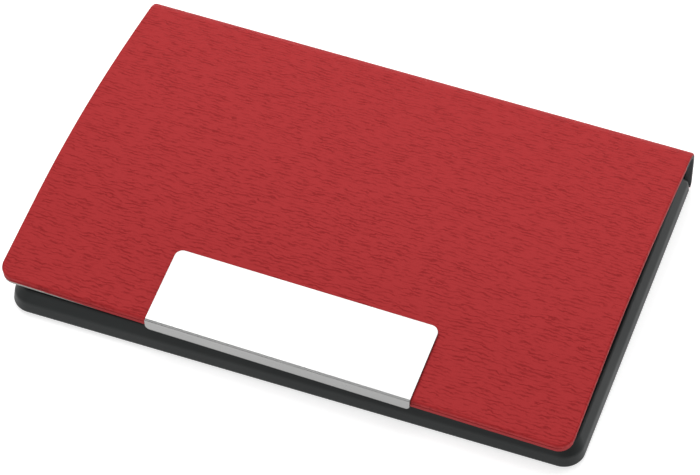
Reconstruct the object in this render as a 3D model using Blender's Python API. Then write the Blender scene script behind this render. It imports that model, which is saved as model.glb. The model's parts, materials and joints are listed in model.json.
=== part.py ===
"""Business card case: a pressed steel tray wrapped by a leatherette cover.

The cover is one strip that lies under the tray, folds up behind it as a spine and folds forward
again as an arched flap. Two board-mounted magnets in the flap hold it down on the tray's front rim.
Metres, +Z up, +Y to the back (the spine). The origin is under the middle of the closed case.
"""

from math import asin, cos, pi, radians, sin

import bmesh
import bpy
from mathutils import Matrix, Vector
from mathutils.geometry import interpolate_bezier

MM = 0.001

# --- driving dimensions -------------------------------------------------------------------------
GLUE_GAP = 0.1 * MM  # between layers that are glued together

TRAY_WIDTH = 93.5 * MM
TRAY_DEPTH = 59.8 * MM
TRAY_CORNER = 3.4 * MM  # plan radius of the front corners at the foot
TRAY_BACK_CORNER = 1.1 * MM  # the back corners are nearly square
TRAY_CENTRE = Vector((0.91 * MM, -1.40 * MM))
TRAY_WALL = 0.75 * MM
TRAY_FLOOR = 0.6 * MM
WALL_RADIUS = 5.6 * MM  # the wall's side view is an arc that leans inward as it rises
RIM_HEIGHT = 4.35 * MM
FOOT_HEIGHT = 0.25 * MM  # the metal stands this far above the surface; the leatherette touches it
FOOT_RADIUS = 0.7 * MM
LIP_WIDTH = 2.6 * MM  # metal left round the recess that the base panel is glued into

COVER_WIDTH = 94.0 * MM
COVER_CENTRE = Vector((-0.09 * MM, -0.75 * MM))
COVER_SKEW = radians(-1.25)  # the cover is glued on a little askew
LEATHER = 0.8 * MM
BOARD = 0.6 * MM
LINER = 0.2 * MM
BACK_FACE = 31.5 * MM  # outer face of the spine, from the cover's own centre
FRONT_EDGE = -30.0 * MM
FRONT_HEIGHT = 6.2 * MM  # top of the flap at its front edge
FRONT_CORNER = 2.4 * MM
FRONT_SLOPE = radians(10.5)  # the front of the flap is straight, so that the plate lies flat
FRONT_STRAIGHT = 14.0 * MM
FOLD_RADIUS = 3.4 * MM  # outer radius of the fold between spine and flap
FOLD_TURN = radians(84.0)  # how far that fold turns before the arch takes over
FOLD_CENTRE_HEIGHT = 6.15 * MM
ARCH_FRONT_HANDLE = 15.6 * MM
ARCH_BACK_HANDLE = 14.5 * MM
FOLD_GAP = 0.8 * MM  # opening left in the rigid stand-ins where the strip bends
EDGE_INSET = 1.0 * MM  # the lining stops this far inside the cut edges

PLATE_WIDTH = 43.5 * MM
PLATE_OFFSET = 0.15 * MM  # it sits a little right of the middle
PLATE_DEPTH = 12.9 * MM
PLATE_DROP = 2.1 * MM
PLATE_THICKNESS = 0.45 * MM
PLATE_CORNER = 1.3 * MM

MAGNET_LENGTH = 10.0 * MM
MAGNET_WIDTH = 3.0 * MM
MAGNET_PLACE = 30.0 * MM  # each side of the middle
MAGNET_SETBACK = 3.6 * MM  # from the flap's front edge to a magnet's middle
MAGNET_PLAY = 0.2 * MM

CARD_LINER = 0.25 * MM
CARD_LINER_INSET = 3.2 * MM

CORNER_STEPS = 7
WALL_STEPS = 6
FOLD_STEPS = 14
ARCH_STEPS = 22

# --- derived dimensions -------------------------------------------------------------------------
RECESS_HEIGHT = LEATHER + GLUE_GAP
FLOOR_TOP = RECESS_HEIGHT + TRAY_FLOOR
WALL_ARC_HEIGHT = FOOT_HEIGHT + FOOT_RADIUS
RIM_RADIUS = TRAY_WALL / 2
WALL_SWEEP = asin((RIM_HEIGHT - RIM_RADIUS - WALL_ARC_HEIGHT) / (WALL_RADIUS - RIM_RADIUS))
FOLD_CENTRE = Vector((BACK_FACE - FOLD_RADIUS, FOLD_CENTRE_HEIGHT))
LOWER_FOLD = Vector((BACK_FACE - LEATHER / 2, LEATHER / 2))
UPPER_FOLD = FOLD_CENTRE + (FOLD_RADIUS - LEATHER / 2) * Vector((cos(pi / 4), sin(pi / 4)))
ALONG_FRONT = Vector((cos(FRONT_SLOPE), sin(FRONT_SLOPE)))
FRONT_TOP = Vector((FRONT_EDGE, FRONT_HEIGHT))

COVER_FRAME = Matrix.Translation(COVER_CENTRE.to_3d()) @ Matrix.Rotation(COVER_SKEW, 4, "Z")
TRAY_FRAME = Matrix.Translation(TRAY_CENTRE.to_3d())
PLATE_SHIFT = Matrix.Translation((PLATE_OFFSET, 0.0, 0.0))


# --- helpers ------------------------------------------------------------------------------------
def clear_scene():
    """Remove every object that the file opened with."""
    for obj in list(bpy.data.objects):
        bpy.data.objects.remove(obj, do_unlink=True)


def make_material(name, colour, roughness, metallic=0.0):
    """A Principled material in one linear colour."""
    material = bpy.data.materials.new(name)
    material.use_nodes = True
    shader = material.node_tree.nodes["Principled BSDF"]
    shader.inputs["Base Color"].default_value = (*colour, 1.0)
    shader.inputs["Roughness"].default_value = roughness
    shader.inputs["Metallic"].default_value = metallic
    material.diffuse_color = (*colour, 1.0)
    return material


def make_object(name, bm, material, frame):
    """Turn a bmesh into a named object standing in the given frame."""
    bmesh.ops.recalc_face_normals(bm, faces=bm.faces)
    mesh = bpy.data.meshes.new(name)
    bm.to_mesh(mesh)
    bm.free()
    mesh.shade_smooth()
    mesh.set_sharp_from_angle(angle=radians(30))
    obj = bpy.data.objects.new(name, mesh)
    bpy.context.scene.collection.objects.link(obj)
    obj.matrix_world = frame
    if material:
        mesh.materials.append(material)
    return obj


def make_cutter(name, bm, frame):
    """A hidden helper for a Boolean."""
    cutter = make_object(name, bm, None, frame)
    cutter.hide_render = True
    cutter.display_type = "WIRE"
    return cutter


def apply_boolean(obj, cutter, operation):
    """Add an exact Boolean modifier and name it after its cutter."""
    modifier = obj.modifiers.new(cutter.name, "BOOLEAN")
    modifier.operation = operation
    modifier.object = cutter
    modifier.solver = "EXACT"


def rounded_outline(half_x, half_y, front_radius, back_radius):
    """Corner points of a rounded rectangle, anticlockwise from the +X side, as 2-D vectors."""
    points = []
    for quarter in range(4):
        turn = quarter * pi / 2
        radius = back_radius if quarter in (0, 1) else front_radius
        centre = Vector((
            (half_x - radius) * (1 if quarter in (0, 3) else -1),
            (half_y - radius) * (1 if quarter in (0, 1) else -1),
        ))
        for step in range(CORNER_STEPS + 1):
            angle = turn + step / CORNER_STEPS * pi / 2
            points.append(centre + radius * Vector((cos(angle), sin(angle))))
    return points


def prism(outline, low, high):
    """A bmesh prism that stands on a closed 2-D outline."""
    bm = bmesh.new()
    base = bm.faces.new([bm.verts.new((x, y, low)) for x, y in outline])
    raised = bmesh.ops.extrude_face_region(bm, geom=[base])["geom"]
    moved = [item for item in raised if isinstance(item, bmesh.types.BMVert)]
    bmesh.ops.translate(bm, verts=moved, vec=(0, 0, high - low))
    return bm


def slab_along_x(section, half_width):
    """A bmesh slab: a closed outline in the Y-Z plane, swept from -half_width to half_width."""
    bm = bmesh.new()
    side = bm.faces.new([bm.verts.new((-half_width, y, z)) for y, z in section])
    swept = bmesh.ops.extrude_face_region(bm, geom=[side])["geom"]
    moved = [item for item in swept if isinstance(item, bmesh.types.BMVert)]
    bmesh.ops.translate(bm, verts=moved, vec=(2 * half_width, 0, 0))
    return bm


def box(low, high):
    """A bmesh box between two corners."""
    bm = bmesh.new()
    size = Vector(high) - Vector(low)
    middle = (Vector(high) + Vector(low)) / 2
    place = Matrix.Translation(middle) @ Matrix.Diagonal((*size, 1.0))
    bmesh.ops.create_cube(bm, size=1.0, matrix=place)
    return bm


# --- tray ---------------------------------------------------------------------------------------
def wall_section():
    """(inset, height) pairs of the tray's wall, from the inner floor over the rim to the recess."""
    centre = Vector((WALL_RADIUS, WALL_ARC_HEIGHT))
    inner = WALL_RADIUS - TRAY_WALL
    start = asin((FLOOR_TOP + FOOT_RADIUS - WALL_ARC_HEIGHT) / inner)
    section = []
    foot = centre + inner * Vector((-cos(start), sin(start)))
    for step in range(3):
        angle = step / 3 * pi / 2
        section.append((
            foot.x + FOOT_RADIUS * (1 - sin(angle)),
            FLOOR_TOP + FOOT_RADIUS * (1 - cos(angle)),
        ))
    for step in range(WALL_STEPS + 1):
        angle = start + (WALL_SWEEP - start) * step / WALL_STEPS
        section.append(tuple(centre + inner * Vector((-cos(angle), sin(angle)))))
    rim = centre + (WALL_RADIUS - RIM_RADIUS) * Vector((-cos(WALL_SWEEP), sin(WALL_SWEEP)))
    for step in range(1, 6):
        angle = -WALL_SWEEP + step / 6 * pi
        section.append(tuple(rim + RIM_RADIUS * Vector((cos(angle), sin(angle)))))
    for step in range(WALL_STEPS + 1):
        angle = WALL_SWEEP * (1 - step / WALL_STEPS)
        section.append(tuple(centre + WALL_RADIUS * Vector((-cos(angle), sin(angle)))))
    for step in range(1, 5):
        angle = step / 4 * pi / 2
        section.append((
            FOOT_RADIUS * (1 - cos(angle)),
            WALL_ARC_HEIGHT - FOOT_RADIUS * sin(angle),
        ))
    section.append((LIP_WIDTH, FOOT_HEIGHT))
    section.append((LIP_WIDTH, RECESS_HEIGHT))
    return section


def make_tray(paint):
    """Pressed tray: leaning walls with a rolled rim, and a recess underneath for the base panel."""
    bm = bmesh.new()
    rings = []
    for inset, height in wall_section():
        outline = rounded_outline(
            TRAY_WIDTH / 2 - inset,
            TRAY_DEPTH / 2 - inset,
            max(TRAY_CORNER - inset, FOOT_RADIUS),
            max(TRAY_BACK_CORNER - inset, TRAY_BACK_CORNER / 3),
        )
        rings.append([bm.verts.new((x, y, height)) for x, y in outline])
    for lower, upper in zip(rings, rings[1:]):
        for index in range(len(lower)):
            after = (index + 1) % len(lower)
            bm.faces.new((lower[index], lower[after], upper[after], upper[index]))
    bm.faces.new(rings[0])
    bm.faces.new(rings[-1])
    tray = make_object("tray", bm, paint, TRAY_FRAME)
    half_exit = TRAY_WIDTH / 2 - LIP_WIDTH
    exit_start = TRAY_DEPTH / 2 - LIP_WIDTH - 0.5 * MM
    exit_cut = box(
        (-half_exit, exit_start, -1.0 * MM),
        (half_exit, TRAY_DEPTH, RECESS_HEIGHT),
    )
    apply_boolean(tray, make_cutter("cover_exit_cutter", exit_cut, TRAY_FRAME), "DIFFERENCE")
    return tray


def make_tray_liner(flock):
    """Thin flocked bed that the cards lie on."""
    low = FLOOR_TOP + GLUE_GAP
    outline = rounded_outline(
        TRAY_WIDTH / 2 - CARD_LINER_INSET,
        TRAY_DEPTH / 2 - CARD_LINER_INSET,
        FOOT_RADIUS,
        FOOT_RADIUS,
    )
    return make_object("tray_liner", prism(outline, low, low + CARD_LINER), flock, TRAY_FRAME)


# --- cover --------------------------------------------------------------------------------------
def cover_path():
    """Outer surface of spine and flap as (point, outward normal) pairs in the Y-Z plane."""
    path = [
        (Vector((BACK_FACE, LEATHER + GLUE_GAP / 2)), Vector((1, 0))),
        (Vector((BACK_FACE, FOLD_CENTRE_HEIGHT / 2)), Vector((1, 0))),
    ]
    for step in range(FOLD_STEPS + 1):
        angle = FOLD_TURN * step / FOLD_STEPS
        normal = Vector((cos(angle), sin(angle)))
        path.append((FOLD_CENTRE + FOLD_RADIUS * normal, normal))
    back, normal = path[-1]
    heading = Vector((-normal.y, normal.x))
    front = FRONT_TOP + FRONT_STRAIGHT * ALONG_FRONT
    knots = [
        back,
        back + ARCH_BACK_HANDLE * heading,
        front + ARCH_FRONT_HANDLE * ALONG_FRONT,
        front,
    ]
    arch = [point.to_2d() for point in interpolate_bezier(*knots, ARCH_STEPS + 1)]
    for before, here, after in zip(arch, arch[1:], arch[2:]):
        run = (after - before).normalized()
        path.append((here, Vector((run.y, -run.x))))
    front_normal = Vector((-ALONG_FRONT.y, ALONG_FRONT.x))
    path.append((front, front_normal))
    path.append((FRONT_TOP - EDGE_INSET * ALONG_FRONT, front_normal))
    return path


def path_between(start, end):
    """The stretch of the cover's path between two lengths measured from its lower end."""
    path = cover_path()
    stretch = [path[0]] if start <= 0 else []
    run = 0.0
    for (here, normal), (there, next_normal) in zip(path, path[1:]):
        step = (there - here).length
        for mark in (start, end):
            if run < mark <= run + step:
                share = (mark - run) / step
                stretch.append((here.lerp(there, share), normal.lerp(next_normal, share).normalized()))
        if start < run + step < end:
            stretch.append((there, next_normal))
        run += step
    return stretch


def path_length_to(fold):
    """Length of the cover's path from its lower end to the point nearest a fold's axis."""
    path = cover_path()
    best = min(range(len(path)), key=lambda index: (path[index][0] - fold).length)
    steps = zip(path[:best], path[1 : best + 1])
    return sum((there[0] - here[0]).length for here, there in steps)


def path_total():
    """Length of the whole path, which runs a little past the flap's front edge."""
    path = cover_path()
    return sum((there[0] - here[0]).length for here, there in zip(path, path[1:]))


def layer(start, end, depth, thickness, half_width):
    """A bmesh sheet under the cover's outer surface, of constant thickness."""
    stretch = path_between(start, end)
    outer = [point - depth * normal for point, normal in stretch]
    inner = [point - (depth + thickness) * normal for point, normal in stretch]
    return slab_along_x(outer + inner[::-1], half_width)


def flap_outline_cutter(name, inset):
    """Prism with the flap's plan: square at the spine, rounded at the two front corners."""
    half_x = COVER_WIDTH / 2 - inset
    front = FRONT_EDGE + inset
    back = 2 * BACK_FACE
    radius = FRONT_CORNER - inset / 2
    outline = [Vector((half_x, back)), Vector((-half_x, back))]
    for side in (-1, 1):
        for step in range(CORNER_STEPS + 1):
            turn = step / CORNER_STEPS * pi / 2
            angle = pi + turn if side < 0 else 1.5 * pi + turn
            centre = Vector((side * (half_x - radius), front + radius))
            outline.append(centre + radius * Vector((cos(angle), sin(angle))))
    return make_cutter(name, prism(outline, -5.0 * MM, 20.0 * MM), COVER_FRAME)


def make_base_leather(leather):
    """Panel glued into the recess under the tray, running out behind it to the fold."""
    half_x = TRAY_WIDTH / 2 - LIP_WIDTH - 2 * GLUE_GAP
    front = -TRAY_DEPTH / 2 + LIP_WIDTH + 2 * GLUE_GAP
    corners = rounded_outline(half_x, -front, FOOT_RADIUS, FOOT_RADIUS)
    outline = [Vector((x, y if y < 0 else TRAY_DEPTH)) for x, y in corners]
    outline = [here for here, after in zip(outline, outline[1:] + outline[:1]) if here != after]
    panel = make_object("base_leather", prism(outline, 0.0, LEATHER), leather, TRAY_FRAME)
    beyond = box(
        (-COVER_WIDTH, BACK_FACE - LEATHER - GLUE_GAP / 2, -1.0 * MM),
        (COVER_WIDTH, 3 * BACK_FACE, 2 * LEATHER),
    )
    apply_boolean(panel, make_cutter("fold_line_cutter", beyond, COVER_FRAME), "DIFFERENCE")
    return panel


def make_spine(leather, lining):
    """Upright back of the cover with the lower half of the upper fold, and its lining."""
    fold = path_length_to(UPPER_FOLD)
    end = fold - FOLD_GAP / 2
    half_width = COVER_WIDTH / 2
    outside = layer(0.0, end, 0.0, LEATHER, half_width)
    inside = layer(EDGE_INSET, end, LEATHER + GLUE_GAP, LINER, half_width - EDGE_INSET)
    return [
        make_object("spine_leather", outside, leather, COVER_FRAME),
        make_object("spine_liner", inside, lining, COVER_FRAME),
    ]


def make_flap_layer(name, material, start, depth, thickness, inset):
    """One layer of the flap, trimmed to the flap's plan."""
    sheet = layer(start, path_total(), depth, thickness, COVER_WIDTH / 2 - inset)
    obj = make_object(name, sheet, material, COVER_FRAME)
    apply_boolean(obj, flap_outline_cutter(name + "_outline", inset), "INTERSECT")
    return obj


def magnet_block(name, side, play, height):
    """A bmesh block at a magnet's place, tilted with the flap's straight front."""
    depth = LEATHER + GLUE_GAP + BOARD / 2
    normal = Vector((-ALONG_FRONT.y, ALONG_FRONT.x))
    middle = FRONT_TOP + MAGNET_SETBACK * ALONG_FRONT - depth * normal
    size = (MAGNET_LENGTH + 2 * play, MAGNET_WIDTH + 2 * play, height)
    place = (
        Matrix.Translation((side * MAGNET_PLACE, middle.x, middle.y))
        @ Matrix.Rotation(FRONT_SLOPE, 4, "X")
        @ Matrix.Diagonal((*size, 1.0))
    )
    bm = bmesh.new()
    bmesh.ops.create_cube(bm, size=1.0, matrix=place)
    return bm


def make_flap(leather, board, lining, steel):
    """Leatherette, board and lining of the flap, and the two magnets let into the board."""
    fold = path_length_to(UPPER_FOLD)
    board_start = path_length_to(FOLD_CENTRE + Vector((0, FOLD_RADIUS)))
    parts = [
        make_flap_layer("flap_leather", leather, fold + FOLD_GAP / 2, 0.0, LEATHER, 0.0),
        make_flap_layer(
            "flap_liner",
            lining,
            board_start + EDGE_INSET,
            LEATHER + BOARD + 2 * GLUE_GAP,
            LINER,
            EDGE_INSET,
        ),
    ]
    stiffener = make_flap_layer(
        "flap_board", board, board_start, LEATHER + GLUE_GAP, BOARD, GLUE_GAP
    )
    for side, name in ((-1, "left_magnet"), (1, "right_magnet")):
        window = magnet_block(name, side, MAGNET_PLAY, 4 * BOARD)
        apply_boolean(stiffener, make_cutter(name + "_window", window, COVER_FRAME), "DIFFERENCE")
        magnet = magnet_block(name, side, 0.0, BOARD)
        parts.append(make_object(name, magnet, steel, COVER_FRAME))
    return parts + [stiffener]


def make_name_plate(steel):
    """Blank plate on the flap, folded down over its front edge."""
    normal = Vector((-ALONG_FRONT.y, ALONG_FRONT.x))
    under = FRONT_TOP + GLUE_GAP * normal
    face = FRONT_EDGE - GLUE_GAP
    bend = 2 * PLATE_THICKNESS
    reach = (PLATE_DEPTH - PLATE_THICKNESS) * ALONG_FRONT
    top = under + PLATE_THICKNESS * normal
    centre = Vector((face - PLATE_THICKNESS + bend, 0.0))
    along = (centre.x + bend * normal.x - top.x) / ALONG_FRONT.x
    centre.y = (top + along * ALONG_FRONT).y - bend * normal.y
    foot = FRONT_HEIGHT + PLATE_THICKNESS - PLATE_DROP
    outer = [top + reach]
    inner = [under + reach]
    for step in range(7):
        angle = pi / 2 + FRONT_SLOPE + (pi / 2 - FRONT_SLOPE) * step / 6
        ray = Vector((cos(angle), sin(angle)))
        outer.append(centre + bend * ray)
        inner.append(centre + (bend - PLATE_THICKNESS) * ray)
    outer.append(Vector((face - PLATE_THICKNESS, foot)))
    inner.append(Vector((face, foot)))
    bm = slab_along_x(outer + inner[::-1], PLATE_WIDTH / 2)
    plate = make_object("name_plate", bm, steel, COVER_FRAME @ PLATE_SHIFT)
    bm = bmesh.new()
    bm.from_mesh(plate.data)
    corners = [edge for edge in bm.edges if is_plate_corner(edge, outer[0], outer[-1])]
    bmesh.ops.bevel(
        bm,
        geom=corners,
        offset=PLATE_CORNER,
        segments=CORNER_STEPS,
        profile=0.5,
        affect="EDGES",
    )
    bm.to_mesh(plate.data)
    bm.free()
    return plate


def is_plate_corner(edge, back, foot):
    """True for the short edges through the plate's thickness at its four free corners."""
    if edge.calc_length() > 1.5 * PLATE_THICKNESS:
        return False
    if any(abs(abs(vert.co.x) - PLATE_WIDTH / 2) > GLUE_GAP for vert in edge.verts):
        return False
    at_back = all((vert.co.yz - back).length < 2 * PLATE_THICKNESS for vert in edge.verts)
    at_foot = all(abs(vert.co.z - foot.y) < GLUE_GAP for vert in edge.verts)
    return at_back or at_foot


# --- joints -------------------------------------------------------------------------------------
def make_axis(name, fold, parent):
    """Empty on a fold's axis, turned with the cover; its X runs along the fold."""
    axis = bpy.data.objects.new(name, None)
    bpy.context.scene.collection.objects.link(axis)
    axis.empty_display_size = 5 * MM
    axis.matrix_world = COVER_FRAME @ Matrix.Translation((0, fold.x, fold.y))
    if parent:
        attach(axis, parent)
    return axis


def attach(obj, parent):
    """Parent an object without moving it."""
    bpy.context.view_layer.update()
    obj.parent = parent
    obj.matrix_parent_inverse = parent.matrix_world.inverted()


def main():
    clear_scene()
    paint = make_material("anthracite_paint", (0.040, 0.042, 0.043), 0.42)
    leather = make_material("red_leatherette", (0.40, 0.030, 0.034), 0.62)
    board = make_material("grey_board", (0.35, 0.35, 0.34), 0.80)
    lining = make_material("black_lining", (0.020, 0.020, 0.022), 0.85)
    flock = make_material("black_flock", (0.012, 0.012, 0.013), 0.95)
    satin = make_material("satin_steel", (0.72, 0.72, 0.71), 0.30, 1.0)
    nickel = make_material("nickel", (0.60, 0.58, 0.55), 0.22, 1.0)

    make_tray(paint)
    make_tray_liner(flock)
    make_base_leather(leather)
    spine = make_spine(leather, lining)
    flap = make_flap(leather, board, lining, nickel)
    flap.append(make_name_plate(satin))

    spine_axis = make_axis("spine_fold_axis", LOWER_FOLD, None)
    flap_axis = make_axis("flap_fold_axis", UPPER_FOLD, spine_axis)
    for obj in spine:
        attach(obj, spine_axis)
    for obj in flap:
        attach(obj, flap_axis)


main()
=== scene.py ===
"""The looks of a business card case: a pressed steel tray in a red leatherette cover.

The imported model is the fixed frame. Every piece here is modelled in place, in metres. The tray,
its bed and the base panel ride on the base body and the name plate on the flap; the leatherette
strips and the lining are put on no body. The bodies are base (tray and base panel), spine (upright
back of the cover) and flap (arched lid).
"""

import json
import logging
from collections.abc import Callable, Iterable
from dataclasses import dataclass, field
from enum import Enum
from math import atan2, cos, degrees, pi, radians, sin

import bmesh
import bpy
from mathutils import Matrix, Vector
from mathutils.geometry import interpolate_bezier

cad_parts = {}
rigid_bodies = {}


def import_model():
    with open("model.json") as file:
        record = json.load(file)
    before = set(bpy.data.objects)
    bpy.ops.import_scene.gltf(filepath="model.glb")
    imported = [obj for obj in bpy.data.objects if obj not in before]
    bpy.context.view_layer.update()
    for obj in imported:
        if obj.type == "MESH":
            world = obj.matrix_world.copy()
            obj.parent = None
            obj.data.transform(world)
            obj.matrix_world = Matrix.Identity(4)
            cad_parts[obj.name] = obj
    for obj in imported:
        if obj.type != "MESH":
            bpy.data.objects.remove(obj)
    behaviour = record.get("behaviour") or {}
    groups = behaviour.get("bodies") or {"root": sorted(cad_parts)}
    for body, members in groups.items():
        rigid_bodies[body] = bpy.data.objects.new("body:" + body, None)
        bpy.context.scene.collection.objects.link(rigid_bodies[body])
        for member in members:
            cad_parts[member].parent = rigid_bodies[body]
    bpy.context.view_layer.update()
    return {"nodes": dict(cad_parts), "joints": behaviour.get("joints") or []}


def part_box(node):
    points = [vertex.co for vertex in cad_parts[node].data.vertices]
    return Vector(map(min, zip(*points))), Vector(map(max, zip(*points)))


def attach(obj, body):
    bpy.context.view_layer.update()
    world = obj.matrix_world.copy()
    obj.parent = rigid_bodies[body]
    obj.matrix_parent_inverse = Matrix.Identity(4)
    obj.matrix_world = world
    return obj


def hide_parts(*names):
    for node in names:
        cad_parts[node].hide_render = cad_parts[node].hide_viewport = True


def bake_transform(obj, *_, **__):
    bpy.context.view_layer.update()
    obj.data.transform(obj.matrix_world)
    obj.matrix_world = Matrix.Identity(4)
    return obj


for startup_object in list(bpy.data.objects):
    bpy.data.objects.remove(startup_object, do_unlink=True)
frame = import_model()

MM = 0.001
LOG = logging.getLogger("card_case")
NEAR = 0.01 * MM  # two places closer than this are taken as the same
UPRIGHT = 0.1 * MM  # an edge that rises more than this stands upright
Point = tuple[Vector, Vector]  # a place on an outer surface, and the outward direction there


class Element(Enum):
    """What an edit-mode selection holds."""

    VERT = "VERT"
    EDGE = "EDGE"
    FACE = "FACE"


class Body(Enum):
    """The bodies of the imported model."""

    BASE = "base"
    SPINE = "spine"
    FLAP = "flap"


def stands(edge: bmesh.types.BMEdge) -> bool:
    """Whether an edge stands upright."""
    return abs(edge.verts[0].co.z - edge.verts[1].co.z) > UPRIGHT


# --- the bench: edit-mode modelling -----------------------------------------------------------
@dataclass
class Workpiece:
    """One mesh object being shaped with edit-mode operators, with its place in its mesh.

    Args:
        obj: the Blender object.
    """

    obj: bpy.types.Object

    @classmethod
    def from_box(cls, name: str, low: Vector, high: Vector) -> "Workpiece":
        """Start from a cube primitive between two corners.

        Args:
            name: the piece's name.
            low: its lowest corner.
            high: its highest corner.

        Returns:
            The new workpiece.
        """
        bpy.ops.object.select_all(action="DESELECT")
        bpy.ops.mesh.primitive_cube_add(size=1.0, location=(low + high) / 2)
        return cls._settled(name, high - low)

    @classmethod
    def from_edge(cls, name: str, half_width: float, start: Vector) -> "Workpiece":
        """Start from a plane primitive trimmed to its front edge, which runs along X.

        Args:
            name: the piece's name.
            half_width: half the edge's length.
            start: the edge's place in the Y-Z plane.

        Returns:
            The new workpiece, holding one edge.
        """
        bpy.ops.object.select_all(action="DESELECT")
        depth = MM
        bpy.ops.mesh.primitive_plane_add(size=1.0, location=(0.0, start.x + depth / 2, start.y))
        piece = cls._settled(name, Vector((2 * half_width, depth, 1.0)))
        piece.enter()
        piece.select(Element.VERT, lambda vert: vert.co.y > start.x + depth / 2)
        bpy.ops.mesh.delete(type="VERT")
        bpy.ops.mesh.select_all(action="SELECT")
        return piece

    @classmethod
    def _settled(cls, name: str, scale: Vector) -> "Workpiece":
        """Name the active primitive, stretch it and apply its place.

        Args:
            name: the piece's name.
            scale: how far it is stretched along each axis.

        Returns:
            The new workpiece.
        """
        obj = bpy.context.object
        obj.name = name
        obj.data.name = name
        obj.scale = scale
        bpy.ops.object.transform_apply(location=True, rotation=True, scale=True)
        return cls(obj)

    def enter(self) -> None:
        """Make the piece the only selected object and open edit mode."""
        bpy.ops.object.select_all(action="DESELECT")
        self.obj.select_set(True)
        bpy.context.view_layer.objects.active = self.obj
        bpy.ops.object.mode_set(mode="EDIT")

    def leave(self) -> None:
        """Go back to object mode."""
        bpy.ops.object.mode_set(mode="OBJECT")

    def select(self, element: Element, rule: Callable[..., bool]) -> None:
        """Select the elements that a rule accepts, and nothing else.

        Args:
            element: the kind of element.
            rule: takes a bmesh element and says whether it is wanted.
        """
        bpy.ops.mesh.select_mode(type=element.value)
        bpy.ops.mesh.select_all(action="DESELECT")
        mesh = bmesh.from_edit_mesh(self.obj.data)
        groups = {Element.VERT: mesh.verts, Element.EDGE: mesh.edges, Element.FACE: mesh.faces}
        found = [item for item in groups[element] if rule(item)]
        if not found:
            raise ValueError(f"{self.obj.name}: a rule selected nothing")
        for item in found:
            item.select_set(True)
        mesh.select_flush_mode()
        bmesh.update_edit_mesh(self.obj.data)

    def extrude_through(self, places: Iterable[Vector]) -> None:
        """Extrude what is selected from place to place in the Y-Z plane.

        Args:
            places: the places, of which the first is where the selection stands now.
        """
        route = list(places)
        for here, there in zip(route, route[1:]):
            move = {"value": (0.0, *(there - here))}
            bpy.ops.mesh.extrude_region_move(TRANSFORM_OT_translate=move)

    def face_outward(self, outward: Vector) -> None:
        """Turn an open sheet so that its first face looks towards a direction.

        Args:
            outward: the direction, in the Y-Z plane.
        """
        bpy.ops.mesh.select_all(action="SELECT")
        bpy.ops.mesh.normals_make_consistent(inside=False)
        mesh = bmesh.from_edit_mesh(self.obj.data)
        mesh.normal_update()
        mesh.faces.ensure_lookup_table()
        looks = mesh.faces[0].normal
        if looks.y * outward.x + looks.z * outward.y < 0:
            bpy.ops.mesh.flip_normals()

    def bevel(self, width: float, segments: int, corner: bool = False, slot: int = -1) -> None:
        """Bevel what is selected.

        Args:
            width: the bevel's offset.
            segments: steps round it.
            corner: bevel corner points of a flat sheet and not edges.
            slot: material slot for the new faces, or -1 for the neighbours' own.
        """
        bpy.ops.mesh.bevel(
            offset=width,
            segments=segments,
            affect="VERTICES" if corner else "EDGES",
            material=slot,
            clamp_overlap=False,
        )

    def thicken(self, thickness: float, rim_slot: int, inner_slot: int) -> None:
        """Give an open sheet its thickness, inward from the face it has.

        Args:
            thickness: how thick.
            rim_slot: material slot of the cut edge.
            inner_slot: material slot of the inner face.
        """
        solidify = self.obj.modifiers.new("thickness", "SOLIDIFY")
        solidify.thickness = thickness
        solidify.offset = -1.0
        solidify.use_even_offset = True
        solidify.material_offset_rim = rim_slot
        solidify.material_offset = inner_slot
        self.apply(solidify)

    def cut(self, cutter: "Workpiece") -> None:
        """Take another workpiece out of this one, and throw the cutter away.

        Args:
            cutter: the shape to remove.
        """
        boolean = self.obj.modifiers.new("cut", "BOOLEAN")
        boolean.operation = "DIFFERENCE"
        boolean.object = cutter.obj
        boolean.solver = "EXACT"
        self.apply(boolean)
        bpy.data.objects.remove(cutter.obj, do_unlink=True)

    def apply(self, modifier: bpy.types.Modifier) -> None:
        """Apply a modifier.

        Args:
            modifier: one of this object's modifiers.
        """
        bpy.ops.object.select_all(action="DESELECT")
        self.obj.select_set(True)
        bpy.context.view_layer.objects.active = self.obj
        bpy.ops.object.modifier_apply(modifier=modifier.name)

    def place(self, matrix: Matrix) -> None:
        """Move the mesh by a matrix, leaving the object at the origin.

        Args:
            matrix: where the piece's own frame stands.
        """
        bpy.ops.object.select_all(action="DESELECT")
        self.obj.select_set(True)
        bpy.context.view_layer.objects.active = self.obj
        self.obj.matrix_world = matrix
        bpy.ops.object.transform_apply(location=True, rotation=True, scale=True)

    def smooth(self, angle: float = 30.0) -> None:
        """Shade smooth, with sharp edges past an angle and with large faces kept flat.

        Args:
            angle: the angle between two faces, in degrees.
        """
        bpy.ops.object.select_all(action="DESELECT")
        self.obj.select_set(True)
        bpy.context.view_layer.objects.active = self.obj
        bpy.ops.object.shade_smooth_by_angle(angle=radians(angle))
        weighted = self.obj.modifiers.new("flat_faces", "WEIGHTED_NORMAL")
        weighted.keep_sharp = True
        self.apply(weighted)

    def dress(self, *materials: bpy.types.Material) -> None:
        """Fill the material slots in order."""
        for material in materials:
            self.obj.data.materials.append(material)


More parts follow.
